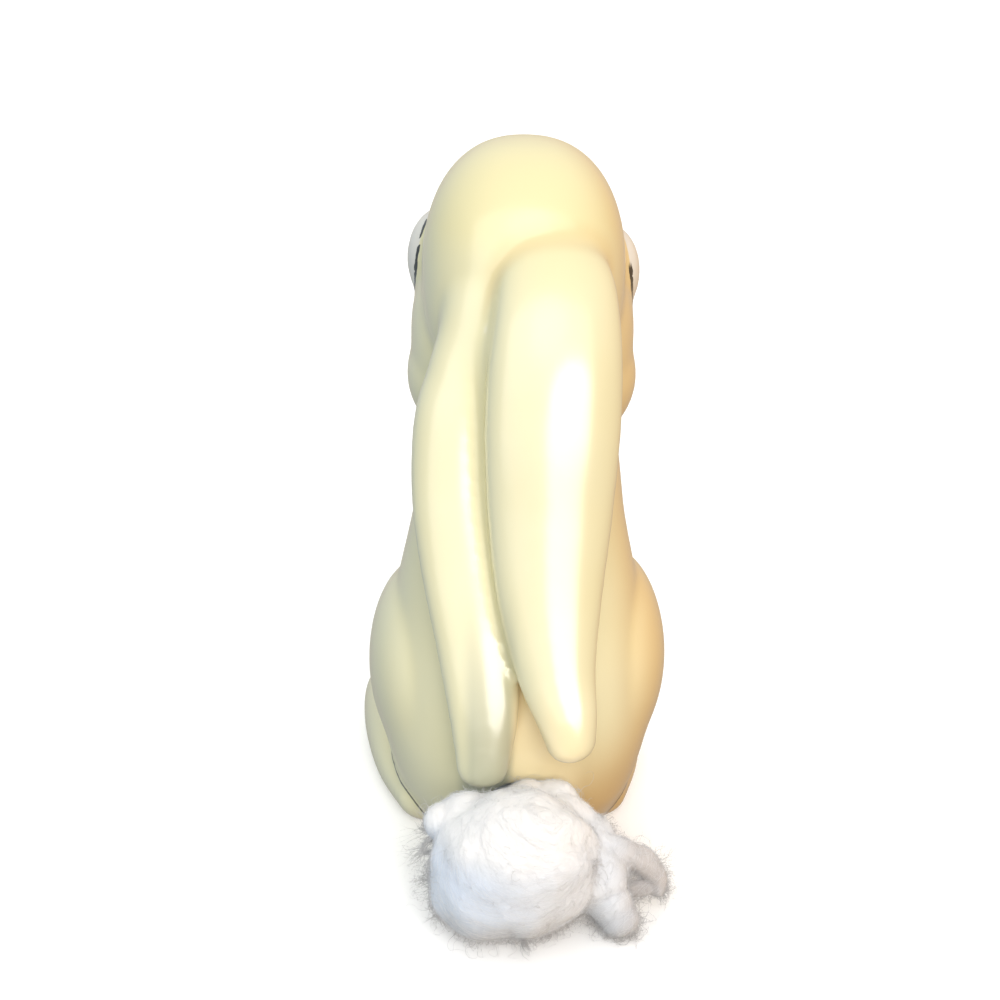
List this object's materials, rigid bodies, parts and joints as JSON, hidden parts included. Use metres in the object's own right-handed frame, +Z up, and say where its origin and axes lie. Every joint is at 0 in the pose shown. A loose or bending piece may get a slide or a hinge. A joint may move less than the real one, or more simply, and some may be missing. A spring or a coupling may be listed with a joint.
{
  "type": "bunny cotton ball dispenser",
  "caption": "Hollow glazed ceramic rabbit that sits upright and gives out cotton balls through its tail hole, filled through a bung in the base.",
  "frame": {"origin": "on the surface it stands on, under the middle of the whole object", "axes": "+Z up, the rabbit faces -Y, its tail points to +Y and its left is +X"},
  "size_m": [0.0801, 0.1422, 0.1798],
  "materials": {
    "cream_glaze": "glossy cream glaze",
    "cotton_wool": "matt, fibrous",
    "grey_rubber": "matt"
  },
  "bodies": {
    "figure": {"body_casting": "cream_glaze", "right_ear": "cream_glaze", "left_ear": "cream_glaze", "right_foreleg": "cream_glaze", "left_foreleg": "cream_glaze", "right_hind_foot": "cream_glaze", "left_hind_foot": "cream_glaze", "cotton_ball_01": "cotton_wool", "cotton_ball_02": "cotton_wool", "cotton_ball_03": "cotton_wool", "cotton_ball_04": "cotton_wool", "cotton_ball_05": "cotton_wool", "cotton_ball_06": "cotton_wool", "cotton_ball_07": "cotton_wool", "cotton_ball_08": "cotton_wool", "cotton_ball_09": "cotton_wool", "cotton_ball_10": "cotton_wool"},
    "tail": {"cotton_tail": "cotton_wool"},
    "next_ball": {"cotton_ball_next": "cotton_wool"},
    "bung": {"filler_bung": "grey_rubber"}
  },
  "joints": [
    {"name": "tail_pull", "type": "slide", "parent": "figure", "child": "tail", "axis": [0, 1, 0], "range_m": [0, 0.04]},
    {"name": "next_ball_follows", "type": "slide", "parent": "figure", "child": "next_ball", "axis": [0, 1, 0], "range_m": [0, 0.04]},
    {"name": "bung_pull", "type": "slide", "parent": "figure", "child": "bung", "axis": [0, 0, -1], "range_m": [0, 0.022]}
  ],
  "couplings": [
    {"joint": "next_ball_follows", "follows": "tail_pull", "ratio": 1}
  ]
}
